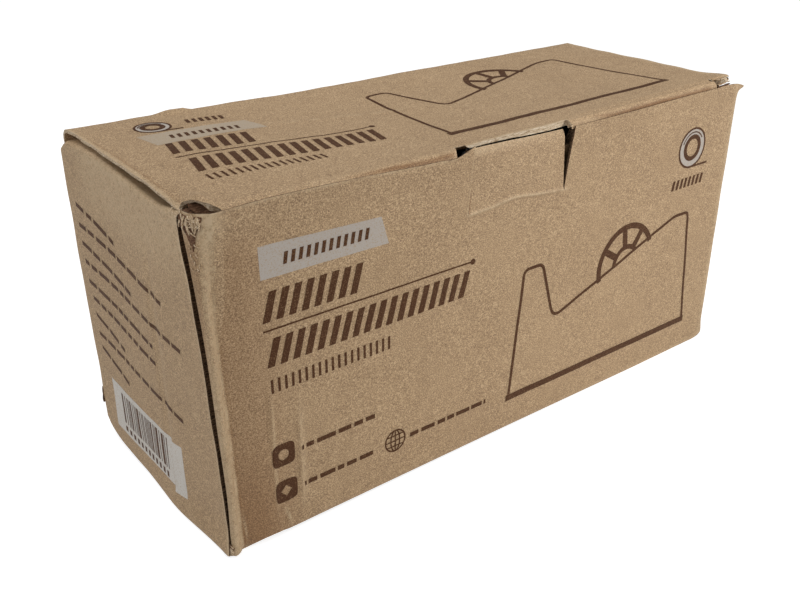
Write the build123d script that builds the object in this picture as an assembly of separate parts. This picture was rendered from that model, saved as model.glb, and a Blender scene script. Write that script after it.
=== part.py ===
from build123d import *
import os

# A desk tape dispenser packed in its corrugated carton. Millimetres, +Z up.
# The carton stands on z = 0, centred on the origin, with its printed front on -Y and its lid
# folding along the top of the back. The dispenser stands inside with its cutting nose to -X.

# Dispenser body, side view measured from its front foot and from the underside of its pad
BODY_LENGTH = 238.0
BODY_HEIGHT = 119.5
FRONT_LEAN = 10.0
REAR_LEAN = 14.5
NOSE_TOP = 22.0
REAR_TOP = 21.0
VALLEY_AT = 49.5
VALLEY_HEIGHT = 65.5
VALLEY_ROUND = 16.0
TOP_ROUND = 3.0
SIDE_LEAN = 8.0
SIDE_WALL = 8.0
SKIN = 3.0

# Tape core wheel, its spindle and the rod they turn on
WHEEL_RADIUS = 38.0
WHEEL_WIDTH = 48.0
WHEEL_SIDE_GAP = 5.0
RIM = 3.0
RIB_RADIUS = 1.5
RIB_COUNT = 8
WEB = 6.0
WEB_BOSS = 4.0
SPOKE = 8.0
WINDOW_ROUND = 3.0
WINDOW_EDGE = 1.0
SPINDLE_RADIUS = 12.5
SPINDLE_OVERHANG = 2.0
CORE_FIT = 0.1
AXLE_RADIUS = 4.0
AXLE_PLAY = 0.06
AXLE_SEAT = 5.5
AXLE_BACK = 99.5
AXLE_DEPTH = 5.8
TAPE_DEPTH = 18.0

# Base of the dispenser
PAD = 3.0
PAD_INSET = 1.0
TRAY = 5.3
TRAY_REACH = 2.5
TRAY_ROUND = 6.0
BALLAST_PLAY = 0.5
BALLAST_END = 22.0
SCREW_INSET = 13.0
SCREW_RADIUS = 1.5
SCREW_HEAD_RADIUS = 3.0
SCREW_HEAD = 2.0
SCREW_LENGTH = 14.0
SCREW_PLAY = 0.1

# Cutter on the nose
NOSE_NOTCH = 10.0
REST_SETBACK = 4.5
REST_LENGTH = 18.0
REST_HEIGHT = 5.0
REST_RIBS = 5
REST_RIB = 1.2
BLADE = 0.8
BLADE_HEIGHT = 8.5
TOOTH_PITCH = 3.0
TOOTH_HEIGHT = 2.2
BLADE_SCREW_RADIUS = 1.2
BLADE_SCREW_HEAD_RADIUS = 2.2
BLADE_SCREW_HEAD = 1.6
BLADE_SCREW_LENGTH = 8.0
BLADE_SCREW_SPREAD = 36.0

# Carton: one die-cut corrugated sheet, split into panels at its creases
BOARD = 3.0
END_ROOM = 11.6
SIDE_ROOM = 5.0
TOP_ROOM = 3.0
FIT = 0.2
HINGE_GAP = 0.3
CORNER_BEND = 5.0
CORNER_SLIT = 2.0
EAR_LENGTH = 44.0
EAR_TUCK = 0.5
END_TOP_GAP = 1.5
ROLL_ROUND = 2.5
INNER_END_PLAY = 1.0
LID_END_INSET = 2.0
LID_FRONT_INSET = 0.5
FOLD_ROUND = 2.4
LID_NOTCH_LENGTH = 9.0
LID_NOTCH_DEPTH = 5.0
TUCK_LENGTH = 26.0
TUCK_TILT = 20.0
TUCK_NOTCH = 9.0
TAB_WIDTH = 54.0
TAB_HEIGHT = 25.0
TAB_OFFSET = 1.0
TAB_LEAN = 4.5
TAB_SLIT = 0.8
SLOT_SIDE = 3.0
SLOT_DEPTH = 5.0

# Dispenser sizes that follow
foot = PAD + TRAY
slope_end = BODY_LENGTH - REAR_LEAN - REAR_TOP
axle_at = BODY_LENGTH - AXLE_BACK
slope = (BODY_HEIGHT - VALLEY_HEIGHT) / (slope_end - VALLEY_AT)
axle_height = VALLEY_HEIGHT + slope * (axle_at - VALLEY_AT) - AXLE_DEPTH
hub_top = axle_height + WHEEL_RADIUS
well_radius = WHEEL_RADIUS + TAPE_DEPTH
well_half = WHEEL_WIDTH / 2 + WHEEL_SIDE_GAP
top_half = well_half + SIDE_WALL
foot_half = top_half + SIDE_LEAN
well_floor = axle_height - well_radius
tray_length = BODY_LENGTH + 2 * TRAY_REACH
tray_width = 2 * (foot_half + TRAY_REACH)
axle_half = well_half + AXLE_SEAT

# Carton sizes that follow
end_stack = 3 * BOARD + 2 * FIT
half_length = tray_length / 2 + END_ROOM + end_stack
half_depth = tray_width / 2 + SIDE_ROOM + BOARD
height = 2 * BOARD + max(hub_top, BODY_HEIGHT) + TOP_ROOM
lid_under = height - BOARD
wall_top = lid_under - HINGE_GAP
end_top = lid_under - END_TOP_GAP
end_half = half_depth - CORNER_BEND - CORNER_SLIT
lid_half = half_length - LID_END_INSET
lid_front = -(half_depth - LID_FRONT_INSET)
lid_axis = (half_depth - BOARD / 2, lid_under + BOARD / 2)
fold_half = lid_half - LID_NOTCH_LENGTH
tuck_axis = (-(half_depth - BOARD - HINGE_GAP - BOARD / 2), lid_under - HINGE_GAP - BOARD / 2)
tab_root = wall_top - TAB_HEIGHT
tab_axis = (BOARD / 2 - half_depth, tab_root + BOARD / 2)
slot_half = TAB_WIDTH / 2 + SLOT_SIDE


def block(x, y, z):
    """A box between two planes each way, each pair given as (low, high)."""
    spans = (x, y, z)
    middle = [(low + high) / 2 for low, high in spans]
    return Pos(*middle) * Box(*[high - low for low, high in spans])


def mirrored(shape):
    """The same shape on the other end of the part."""
    return mirror(shape, Plane.YZ)


def across(face, half):
    """A side-view face (x, z) drawn out to both sides along Y."""
    return extrude(Plane.XZ * face, half, both=True)


def along(face, half):
    """An end-view face (y, z) drawn out both ways along X."""
    return extrude(Plane.YZ * face, half, both=True)


def side(u, w):
    """A point of the dispenser's side view in the part's own frame."""
    return (u - BODY_LENGTH / 2, w + BOARD)


def rod(radius, x, y, z):
    """A round rod along Y, y given as (low, high)."""
    turned = Rot(90, 0, 0) * Cylinder(radius, y[1] - y[0])
    return Pos(x, sum(y) / 2, z) * turned


def pin(radius, x, y, z):
    """A round pin along Z, z given as (low, high)."""
    return Pos(x, y, sum(z) / 2) * Cylinder(radius, z[1] - z[0])


def stud(radius, x, y, z):
    """A round stud along X, x given as (low, high)."""
    turned = Rot(0, 90, 0) * Cylinder(radius, x[1] - x[0])
    return Pos(sum(x) / 2, y, z) * turned


# Dispenser

axle_x, axle_z = side(axle_at, axle_height)
screw_spots = [
    (end * (BODY_LENGTH / 2 - SCREW_INSET), flank * (well_half + foot_half) / 2)
    for end in (-1, 1)
    for flank in (-1, 1)
]
notch_floor = BODY_HEIGHT - NOSE_NOTCH
nose_front = FRONT_LEAN * (notch_floor - foot) / (BODY_HEIGHT - foot)
rest_start = nose_front + REST_SETBACK
rest_half = well_half - FIT
blade_screw_height = notch_floor + REST_HEIGHT / 2
blade_screw_spots = (-BLADE_SCREW_SPREAD / 2, BLADE_SCREW_SPREAD / 2)


def body_outline():
    nose_end = FRONT_LEAN + NOSE_TOP
    rear_end = BODY_LENGTH - REAR_LEAN
    corners = [
        (0, foot, 0),
        (FRONT_LEAN, BODY_HEIGHT, TOP_ROUND),
        (nose_end, BODY_HEIGHT, TOP_ROUND),
        (VALLEY_AT, VALLEY_HEIGHT, VALLEY_ROUND),
        (slope_end, BODY_HEIGHT, TOP_ROUND),
        (rear_end, BODY_HEIGHT, TOP_ROUND),
        (BODY_LENGTH, foot, 0),
    ]
    points = [side(u, w) for u, w, _ in corners]
    return make_face(FilletPolyline(*points, radius=[r for _, _, r in corners], close=True))


def pocket(radius):
    """A round-bottomed pocket about the axle, open upwards, seen from the side."""
    tall = 2 * BODY_HEIGHT
    return Pos(axle_x, axle_z) * (Circle(radius) + Pos(0, tall / 2) * Rectangle(2 * radius, tall))


def front_side_shell():
    """Side wall towards the carton's front: upright inside, leaning outside, with a blind slot for the axle."""
    bottom, top = foot + BOARD, BODY_HEIGHT + BOARD
    flank = Polygon((-foot_half, bottom), (-well_half, bottom), (-well_half, top), (-top_half, top), align=None)
    wall = across(body_outline(), foot_half) & along(flank, BODY_LENGTH)
    wall -= across(pocket(AXLE_RADIUS + AXLE_PLAY), axle_half + FIT)
    for x, y in screw_spots:
        wall -= pin(SCREW_RADIUS + SCREW_PLAY, x, y, (bottom - SKIN, bottom + SCREW_LENGTH))
    return wall


def centre_frame():
    """Thin-walled moulding between the side shells: nose, floor of the tape well and rear block."""
    fall = (VALLEY_AT - FRONT_LEAN - NOSE_TOP) / (BODY_HEIGHT - VALLEY_HEIGHT)
    back = axle_at + well_radius
    corners = [
        (0, foot),
        (nose_front, notch_floor),
        (FRONT_LEAN + NOSE_TOP + NOSE_NOTCH * fall, notch_floor),
        (VALLEY_AT, VALLEY_HEIGHT),
        (VALLEY_AT, well_floor),
        (back, well_floor),
        (back, VALLEY_HEIGHT + slope * (back - VALLEY_AT)),
        (slope_end, BODY_HEIGHT),
        (BODY_LENGTH - REAR_LEAN, BODY_HEIGHT),
        (BODY_LENGTH, foot),
    ]
    section = make_face(Polyline(*[side(u, w) for u, w in corners], close=True))
    hollow = offset(section, -SKIN, kind=Kind.INTERSECTION)
    mouth = Pos(0, foot + BOARD) * Rectangle(BODY_LENGTH - 3 * SKIN, 3 * SKIN)
    return across(section - hollow - mouth, well_half)


def base_slab(inset, z):
    outline = RectangleRounded(tray_length - 2 * inset, tray_width - 2 * inset, TRAY_ROUND - inset)
    return Pos(0, 0, z[0]) * extrude(outline, z[1] - z[0])


def base_tray():
    low, high = BOARD + PAD, BOARD + foot
    tray = base_slab(0, (low, high))
    for x, y in screw_spots:
        tray -= pin(SCREW_RADIUS + SCREW_PLAY, x, y, (low, high))
        tray -= pin(SCREW_HEAD_RADIUS + SCREW_PLAY, x, y, (low, low + SCREW_HEAD + SCREW_PLAY))
    return tray


def tray_screw(x, y):
    low = BOARD + PAD + SCREW_PLAY
    under = low + SCREW_HEAD
    head = pin(SCREW_HEAD_RADIUS, x, y, (low, under))
    return head + pin(SCREW_RADIUS, x, y, (under - FIT, under + SCREW_LENGTH - TRAY / 2))


def ballast_slab():
    end = BODY_LENGTH / 2 - BALLAST_END
    low, high = BOARD + foot, BOARD + well_floor - SKIN - BALLAST_PLAY
    flank = well_half - BALLAST_PLAY
    return block((-end, end), (-flank, flank), (low, high))


def wheel_window():
    """One of the four windows between the wheel's spokes, seen from the side."""
    inner = SPINDLE_RADIUS + CORE_FIT + WEB_BOSS + WINDOW_EDGE
    outer = WHEEL_RADIUS - RIB_RADIUS - RIM - WINDOW_EDGE
    start, reach = SPOKE / 2 * 2**0.5, 2 * WHEEL_RADIUS
    wedge = Polygon((start, 0), (start + reach, reach), (start + reach, -reach), align=None)
    return fillet(((Circle(outer) - Circle(inner)) & wedge).vertices(), WINDOW_ROUND)


def core_wheel():
    outer = WHEEL_RADIUS - RIB_RADIUS
    half, web = WHEEL_WIDTH / 2, WEB / 2
    rib = Pos(outer, 0) * Circle(RIB_RADIUS)
    ribs = [Rot(0, 0, 360 * (turn + 0.5) / RIB_COUNT) * rib for turn in range(RIB_COUNT)]
    wheel = across(Circle(outer) + ribs, half)
    hollow = Circle(outer - RIM) - Circle(SPINDLE_RADIUS + CORE_FIT + WEB_BOSS)
    for flank in (-1, 1):
        wheel -= extrude(Plane.XZ.offset(flank * web) * hollow, flank * (half - web))
    wheel -= [across(Rot(0, 0, 90 * quarter) * wheel_window(), WEB) for quarter in range(4)]
    wheel -= across(Circle(SPINDLE_RADIUS + CORE_FIT), WHEEL_WIDTH)
    return Pos(axle_x, 0, axle_z) * wheel


def core_spindle():
    half = WHEEL_WIDTH / 2 + SPINDLE_OVERHANG
    tube = Circle(SPINDLE_RADIUS) - Circle(AXLE_RADIUS + AXLE_PLAY)
    return Pos(axle_x, 0, axle_z) * across(tube, half)


def axle_rod():
    return rod(AXLE_RADIUS, axle_x, (-axle_half, axle_half), axle_z)


def tape_rest():
    low = notch_floor + BOARD
    start = side(rest_start, 0)[0]
    top = low + REST_HEIGHT
    rest = block((start, start + REST_LENGTH), (-rest_half, rest_half), (low, top))
    pitch = REST_LENGTH / REST_RIBS
    for rib in range(REST_RIBS):
        x = start + (rib + 0.5) * pitch
        rest += rod(REST_RIB, x, (-rest_half, rest_half), top)
    for y in blade_screw_spots:
        hole = (start - FIT, start + BLADE_SCREW_LENGTH)
        rest -= stud(BLADE_SCREW_RADIUS + SCREW_PLAY, hole, y, blade_screw_height + BOARD)
    return rest


def cutter_blade():
    low = notch_floor + BOARD
    gullet = low + BLADE_HEIGHT - TOOTH_HEIGHT
    teeth = int(2 * rest_half / TOOTH_PITCH)
    half = teeth * TOOTH_PITCH / 2
    points = [(-half, low), (-half, gullet)]
    for tooth in range(teeth):
        y = -half + tooth * TOOTH_PITCH
        points += [(y + TOOTH_PITCH / 2, gullet + TOOTH_HEIGHT), (y + TOOTH_PITCH, gullet)]
    points.append((half, low))
    front = side(rest_start, 0)[0] - BLADE / 2
    blade = Pos(front, 0, 0) * along(Polygon(*points, align=None), BLADE / 2)
    for y in blade_screw_spots:
        hole = (front - BLADE, front + BLADE)
        blade -= stud(BLADE_SCREW_RADIUS + SCREW_PLAY, hole, y, blade_screw_height + BOARD)
    return blade


def blade_screw(y):
    face = side(rest_start, 0)[0] - BLADE
    z = blade_screw_height + BOARD
    head = stud(BLADE_SCREW_HEAD_RADIUS, (face - BLADE_SCREW_HEAD, face), y, z)
    return head + stud(BLADE_SCREW_RADIUS, (face - FIT, face + BLADE_SCREW_LENGTH), y, z)


# Carton

def bent_wall(z):
    """Front wall, with the rounded bends at its ends that lead into the ears."""
    outer = RectangleRounded(2 * half_length, 2 * half_depth, CORNER_BEND)
    inner = RectangleRounded(2 * (half_length - BOARD), 2 * (half_depth - BOARD), CORNER_BEND - BOARD)
    strip = Pos(0, CORNER_BEND / 2 - half_depth) * Rectangle(2 * half_length, CORNER_BEND)
    return Pos(0, 0, z[0]) * extrude((outer - inner) & strip, z[1] - z[0])


def carton_base():
    tongue = half_depth - CORNER_BEND - CORNER_SLIT
    middle = half_length - CORNER_BEND
    base = block((-middle, middle), (BOARD - half_depth, half_depth - BOARD), (0, BOARD))
    return base + block((BOARD - half_length, half_length - BOARD), (-tongue, tongue), (0, BOARD))


def carton_front():
    wall = bent_wall((0, wall_top))
    side_cut = TAB_WIDTH / 2 + TAB_SLIT
    mouth = (TAB_OFFSET - side_cut, TAB_OFFSET + side_cut)
    return wall - block(mouth, (-2 * half_depth, 0), (tab_root - HINGE_GAP, height))


def carton_back():
    return Rot(0, 0, 180) * bent_wall((0, wall_top))


def end_outer():
    """Left outer end wall with the strip that rolls over the top of the ears."""
    outer, inner = -half_length, -half_length + end_stack
    corners = [
        (outer, 0, 0),
        (outer, end_top, ROLL_ROUND),
        (inner, end_top, ROLL_ROUND),
        (inner, end_top - BOARD, 0),
        (outer + BOARD, end_top - BOARD, 0),
        (outer + BOARD, 0, 0),
    ]
    points = [(x, z) for x, z, _ in corners]
    face = make_face(FilletPolyline(*points, radius=[r for _, _, r in corners], close=True))
    return across(face, end_half)


def end_inner():
    start = -half_length + 2 * (BOARD + FIT)
    reach = half_depth - BOARD - INNER_END_PLAY
    return block((start, start + BOARD), (-reach, reach), (BOARD, end_top - BOARD))


def front_ear():
    """Left front ear, held between the two walls of the end."""
    start = -half_length + BOARD + FIT
    nest = CORNER_BEND - half_depth - EAR_TUCK
    return block((start, start + BOARD), (nest, nest + EAR_LENGTH), (BOARD, end_top - BOARD - FIT))


def back_ear():
    return mirror(front_ear(), Plane.XZ)


def lid_panel():
    axis_y, axis_z = lid_axis
    lid = block((-lid_half, lid_half), (lid_front, axis_y), (lid_under, height))
    fold = lid.edges().filter_by(Axis.X).sort_by(Axis.Y)[:2].sort_by(Axis.Z)[-1]
    lid = fillet(fold, FOLD_ROUND)
    lid += Pos(0, axis_y, axis_z) * Rot(0, 90, 0) * Cylinder(BOARD / 2, 2 * lid_half)
    notch = (-half_depth * 2, lid_front + LID_NOTCH_DEPTH)
    layer = (0, 2 * height)
    for end in (-1, 1):
        span = sorted((end * fold_half, end * half_length))
        lid -= block(span, notch, layer)
    slot = (-half_depth * 2, lid_front + SLOT_DEPTH)
    return lid - block((TAB_OFFSET - slot_half, TAB_OFFSET + slot_half), slot, layer)


def tuck_flap():
    """Hangs behind the front wall from its crease, its lower edge leaning in."""
    axis_y, axis_z = tuck_axis
    half = fold_half - FIT
    flap = block((-half, half), (-BOARD / 2, BOARD / 2), (-TUCK_LENGTH, 0))
    flap += Rot(0, 90, 0) * Cylinder(BOARD / 2, 2 * half)
    notch = (TAB_OFFSET - slot_half, TAB_OFFSET + slot_half)
    flap -= block(notch, (-BOARD, BOARD), (-TUCK_NOTCH, BOARD))
    return Pos(0, axis_y, axis_z) * Rot(TUCK_TILT, 0, 0) * flap


def lock_tab():
    """Cut from the front wall, leaning in from its crease."""
    reach = TAB_HEIGHT - BOARD
    tab = block((-TAB_WIDTH / 2, TAB_WIDTH / 2), (-BOARD / 2, BOARD / 2), (0, reach))
    roll = Rot(0, 90, 0) * Cylinder(BOARD / 2, TAB_WIDTH)
    tab += [roll, Pos(0, 0, reach) * roll]
    return Pos(TAB_OFFSET, *tab_axis) * Rot(-TAB_LEAN, 0, 0) * tab


pieces = {
    "front_side_shell": front_side_shell(),
    "back_side_shell": mirror(front_side_shell(), Plane.XZ),
    "centre_frame": centre_frame(),
    "base_tray": base_tray(),
    "non_slip_pad": base_slab(PAD_INSET, (BOARD, BOARD + PAD)),
    "ballast_slab": ballast_slab(),
    "tray_screws": Compound(children=[tray_screw(x, y) for x, y in screw_spots]),
    "core_wheel": core_wheel(),
    "core_spindle": core_spindle(),
    "axle_rod": axle_rod(),
    "tape_rest": tape_rest(),
    "cutter_blade": cutter_blade(),
    "blade_screws": Compound(children=[blade_screw(y) for y in blade_screw_spots]),
    "carton_base": carton_base(),
    "carton_front": carton_front(),
    "carton_back": carton_back(),
    "left_end_outer": end_outer(),
    "left_end_inner": end_inner(),
    "right_end_outer": mirrored(end_outer()),
    "right_end_inner": mirrored(end_inner()),
    "front_left_ear": front_ear(),
    "front_right_ear": mirrored(front_ear()),
    "back_left_ear": back_ear(),
    "back_right_ear": mirrored(back_ear()),
    "lid_panel": lid_panel(),
    "tuck_flap": tuck_flap(),
    "lock_tab": lock_tab(),
}

os.makedirs("parts", exist_ok=True)
for name, shape in pieces.items():
    export_step(shape, f"parts/{name}.step")
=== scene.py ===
import math
import random

import bmesh
import bpy
import numpy as np
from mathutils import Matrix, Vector


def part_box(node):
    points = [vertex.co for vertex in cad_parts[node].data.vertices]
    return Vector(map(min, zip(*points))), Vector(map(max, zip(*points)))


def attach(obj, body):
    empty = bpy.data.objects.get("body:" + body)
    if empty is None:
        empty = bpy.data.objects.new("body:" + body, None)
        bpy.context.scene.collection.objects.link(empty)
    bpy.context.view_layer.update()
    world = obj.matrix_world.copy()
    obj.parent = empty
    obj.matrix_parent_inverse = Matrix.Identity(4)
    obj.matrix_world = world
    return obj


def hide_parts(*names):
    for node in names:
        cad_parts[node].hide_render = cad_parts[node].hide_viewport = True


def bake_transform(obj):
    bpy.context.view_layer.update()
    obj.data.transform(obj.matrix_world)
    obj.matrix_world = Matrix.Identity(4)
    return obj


# A kraft carton with a desk tape dispenser inside. Shapes are worked out in millimetres in the
# frame's own axes: printed front on -Y, lid on top, left end on -X. Meshes are written in metres.

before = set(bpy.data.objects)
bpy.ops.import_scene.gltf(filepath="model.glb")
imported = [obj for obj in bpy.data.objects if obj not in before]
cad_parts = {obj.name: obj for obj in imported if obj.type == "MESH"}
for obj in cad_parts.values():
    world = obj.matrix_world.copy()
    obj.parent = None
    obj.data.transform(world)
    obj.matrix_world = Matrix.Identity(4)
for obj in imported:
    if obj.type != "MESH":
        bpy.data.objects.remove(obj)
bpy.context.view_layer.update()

MM = 0.001
WELD = 1e-6
SHARP = math.radians(35)
QUARTER = math.pi / 2


def box_mm(node):
    low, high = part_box(node)
    return np.array(low) / MM, np.array(high) / MM


# Sizes from the frame
wall_low, wall_high = box_mm("carton_front")
end_low, end_high = box_mm("left_end_outer")
lid_high = box_mm("lid_panel")[1]
RIGHT, BACK = wall_high[0], -wall_low[1]
LEFT, FRONT = -RIGHT, -BACK
LID_HALF, TOP = lid_high[0], lid_high[2]
TUCK_HALF = box_mm("tuck_flap")[1][0]
END_HALF, END_TOP = end_high[1], end_high[2]
END_STACK = end_high[0] - end_low[0]

# Board. Raw edges on grid axis FLUTE_AXIS cut across the flutes.
BOARD = 2.8
LINER = 0.4
RECESS = 1.0
CRUSHED = 0.35
FLUTE_PITCH = 6.2
FLUTE_AXIS = 1
FLUTE_HALF = 0.07
FLUTE_RECESS = 0.15
OUTSIDE, INSIDE, EDGE = 0, 1, 2

# Lid
BACK_ROUND = 3.0
ROLL_ROUND = 3.3
ROLL_SETBACK = 0.4
ROLL_BACK_RIGHT = 2.2
ROLL_BACK_LEFT = 0.7
LID_SEAM = 132.5
TRIM_FROM = -30.0
TONGUE_AT = 131.0
TONGUE_END = -53.6
SPLIT_FROM = -49.0
SPLIT = 1.4
SLOT = (-33.5, 29.0)
SLOT_EDGE = -51.2
HOLE = (-33.5, -28.0)
HOLE_EDGE = -49.8
HOLE_SKEW = 3.4
HOLE_MIDDLE = sum(HOLE) / 2

# Front wall and its lock tab
STRIP = 6.6
TAB_LEFT, TAB_RIGHT = -27.9, 25.9
TAB_ROOT = 110.3
TAB_TOP = 134.9
TAB_LEAN = 2.1
TAB_PLAY = 0.15
TAB_RIDGE = 0.55
CUT_LEAN = 2.8
CUT_HEIGHT = 25

# Small helpers for shapes


def ease(start, end, x):
    """0 before start, 1 after end, smooth between them."""
    t = np.clip((x - start) / (end - start), 0, 1)
    return t * t * (3 - 2 * t)


def between(x, start, full, fade, end):
    """1 from full to fade, 0 outside start to end."""
    return ease(start, full, x) * ease(end, fade, x)


def inside(x, low, high):
    return (x > low) & (x < high)


def hump(x, centre, width):
    return np.exp(-(((x - centre) / width) ** 2))


def ramp(d, soft):
    """d where over 0, else 0, with a soft bend."""
    return (d + np.sqrt(d * d + soft * soft)) / 2


def curve(knots, x):
    """Smooth curve through (place, value) knots."""
    place, value = np.array(knots, float).T
    slope = np.gradient(value, place)
    x = np.clip(x, place[0], place[-1])
    i = np.clip(np.searchsorted(place, x) - 1, 0, len(place) - 2)
    span = place[i + 1] - place[i]
    t = (x - place[i]) / span
    start = (2 * t**3 - 3 * t**2 + 1) * value[i] + (t**3 - 2 * t**2 + t) * span * slope[i]
    end = (3 * t**2 - 2 * t**3) * value[i + 1] + (t**3 - t**2) * span * slope[i + 1]
    return start + end


def ripple(a, b, size):
    """A calm, repeatable unevenness between about -1 and 1."""
    a, b = a / size, b / size
    waves = 0.5 * np.sin(1.3 * a + 0.7 * b + 0.4) + 0.3 * np.sin(2.1 * b - 1.1 * a)
    return waves + 0.2 * np.sin(3.7 * a + 2.9 * b)


def patchy(x, size, share):
    """1 with dips along x, at most twice the share deep."""
    return 1 - share + share * ripple(x, 0 * x, size)


def spaced(start, end, step, marks=()):
    """Grid lines from start to end about a step apart, with a line on each mark."""
    stops = sorted({start, end, *[m for m in marks if start < m < end]})
    lines = []
    for a, b in zip(stops, stops[1:]):
        lines.append(np.linspace(a, b, max(2, math.ceil((b - a) / step) + 1))[:-1])
    return np.concatenate([*lines, [end]])


def merged(*lines):
    """Grid lines of several spacings in one sorted row."""
    return np.unique(np.concatenate(lines).round(3))


def turned(axis, across, along):
    """(u, v) of a point on a grid line of the axis."""
    return (across, along) if axis == 0 else (along, across)


# Corrugated panels


class Panel:
    """A bent sheet of corrugated board. surface(u, v) gives its outer face in mm."""

    def __init__(self, surface, us, vs, keep=None, thick=None, wear_and_light=None, side=1, flush=()):
        self.surface = surface
        self.us, self.vs = us, vs
        self.side, self.flush = side, flush
        self.thick = thick or (lambda u, v: np.full(np.shape(u), BOARD))
        self.wear_and_light = wear_and_light
        self.verts, self.faces, self.kinds = [], [], []
        mid_u, mid_v = np.meshgrid((us[1:] + us[:-1]) / 2, (vs[1:] + vs[:-1]) / 2, indexing="ij")
        kept = np.ones(mid_u.shape, bool) if keep is None else keep(mid_u, mid_v)
        self.kept = np.pad(kept, 1)

    def normal(self, u, v):
        e = 0.02
        along_u = self.surface(u + e, v) - self.surface(u - e, v)
        along_v = self.surface(u, v + e) - self.surface(u, v - e)
        n = np.cross(along_u, along_v) * self.side
        return n / np.linalg.norm(n, axis=-1, keepdims=True)

    def point(self, u, v, depth):
        """A point of the board, depth 0 on the outer face and 1 on the inner face."""
        u, v = np.broadcast_arrays(np.asarray(u, float), np.asarray(v, float))
        return self.surface(u, v) - self.normal(u, v) * (self.thick(u, v) * depth)[..., None]

    def add(self, grid, kind, kept=None):
        """Quads over a grid of points, all of one material."""
        rows, columns = grid.shape[:2]
        first = sum(len(v) for v in self.verts)
        number = first + np.arange(rows * columns).reshape(rows, columns)
        quads = np.stack([number[:-1, :-1], number[1:, :-1], number[1:, 1:], number[:-1, 1:]], -1)
        quads = quads.reshape(-1, 4) if kept is None else quads[kept]
        self.verts.append(grid.reshape(-1, 3))
        self.faces.append(quads)
        self.kinds.append(np.full(len(quads), kind))

    def add_rows(self, rows):
        """Raw edge between each row of points and the next."""
        for low, high in zip(rows, rows[1:]):
            self.add(np.stack([low, high]), EDGE)

    def runs(self):
        """Straight raw edges: grid axis, line, first and last point, outward sign, end shifts."""
        for axis in (0, 1):
            cells = self.kept if axis == 0 else self.kept.T
            before, after = cells[:-1, :], cells[1:, :]
            for line in range(before.shape[0]):
                for sign, edge in ((-1, after[line] & ~before[line]), (1, before[line] & ~after[line])):
                    marks = np.flatnonzero(np.diff(edge.astype(int)))
                    for start, end in zip(marks[::2], marks[1::2]):
                        outer = [before[line, k] and after[line, k] for k in (start, end + 1)]
                        shift = (-1 if outer[0] else 1, 1 if outer[1] else -1)
                        yield axis, line, start, end, sign, shift

    def gap(self, axis, at):
        """0 for an edge that is closed flat, else 1."""
        return 0.0 if any(axis == a and abs(at - b) < 0.01 for a, b in self.flush) else 1.0

    def raw_edges(self):
        """Two liners with a gap, and the wavy sheet where flutes are cut across."""
        lines = (self.us, self.vs)
        share = LINER / BOARD
        section = [(0, 0), (0, share), (1, share), (1, 1 - share), (0, 1 - share), (0, 1)]
        for axis, line, start, end, sign, shift in self.runs():
            at = lines[axis][line]
            run = lines[1 - axis][start:end + 1]
            thick = self.thick(*turned(axis, np.full(len(run), at), run))
            depth = RECESS * (thick / BOARD) ** 2 * self.gap(axis, at)
            for end_at in (0, -1):
                depth[end_at] *= self.gap(1 - axis, run[end_at])
            ends = (run[0] + shift[0] * depth[0], run[-1] + shift[1] * depth[-1])
            inner = np.interp(run, (run[0], run[-1]), ends)
            rows = []
            for inset, level in section:
                place = turned(axis, at - sign * inset * depth, inner if inset else run)
                rows.append(self.point(*place, level))
            self.add_rows(rows)
            if axis == FLUTE_AXIS and depth.min() > 0.85 * RECESS:
                self.wavy_sheet(axis, at, sign, run[0] + RECESS, run[-1] - RECESS)

    def wavy_sheet(self, axis, at, sign, start, end):
        if end - start < FLUTE_PITCH:
            return
        run = np.arange(start, end, FLUTE_PITCH / 12)
        swing = 0.5 - LINER / BOARD - FLUTE_HALF
        middle = 0.5 + swing * np.sin(2 * math.pi * run / FLUTE_PITCH)
        section = [(RECESS, -1), (FLUTE_RECESS, -1), (FLUTE_RECESS, 1), (RECESS, 1), (RECESS, -1)]
        rows = []
        for depth, face in section:
            place = turned(axis, np.full(len(run), at - sign * depth), run)
            rows.append(self.point(*place, middle + face * FLUTE_HALF))
        self.add_rows(rows)

    def build(self, name):
        u, v = np.meshgrid(self.us, self.vs, indexing="ij")
        for depth, kind in ((0, OUTSIDE), (1, INSIDE)):
            self.add(self.point(u, v, depth), kind, self.kept[1:-1, 1:-1])
        self.raw_edges()
        verts, faces, kinds = (np.concatenate(part) for part in (self.verts, self.faces, self.kinds))
        used, faces = np.unique(faces, return_inverse=True)
        obj = mesh_object(name, verts[used], faces.reshape(-1, 4), kinds)
        # The per-point attribute holds torn fuzz and painted highlight over 0, a rub and painted shade under
        # 0.
        if self.wear_and_light:
            attribute = obj.data.attributes.new("wear_and_light", "FLOAT", "POINT")
            where = np.array([v.co for v in obj.data.vertices]) / MM
            attribute.data.foreach_set("value", self.wear_and_light(*where.T).astype(np.float32))
        return obj


def mesh_object(name, verts, faces, kinds):
    """A welded mesh object from points in mm, shaded smooth up to the sharp angle."""
    mesh = bpy.data.meshes.new(name)
    mesh.from_pydata((np.asarray(verts) * MM).tolist(), [], np.asarray(faces).tolist())
    mesh.polygons.foreach_set("material_index", np.asarray(kinds, np.int32))
    bm = bmesh.new()
    bm.from_mesh(mesh)
    bmesh.ops.remove_doubles(bm, verts=bm.verts, dist=WELD)
    bmesh.ops.recalc_face_normals(bm, faces=bm.faces)
    bm.to_mesh(mesh)
    bm.free()
    mesh.polygons.foreach_set("use_smooth", np.ones(len(mesh.polygons), bool))
    mesh.set_sharp_from_angle(angle=SHARP)
    obj = bpy.data.objects.new(name, mesh)
    bpy.context.scene.collection.objects.link(obj)
    return obj


# Materials


def srgb(*values):
    """An 8-bit display colour as linear RGBA."""
    linear = [v / 255 for v in values]
    linear = [v / 12.92 if v <= 0.04045 else ((v + 0.055) / 1.055) ** 2.4 for v in linear]
    return (*linear, 1.0)


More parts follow.
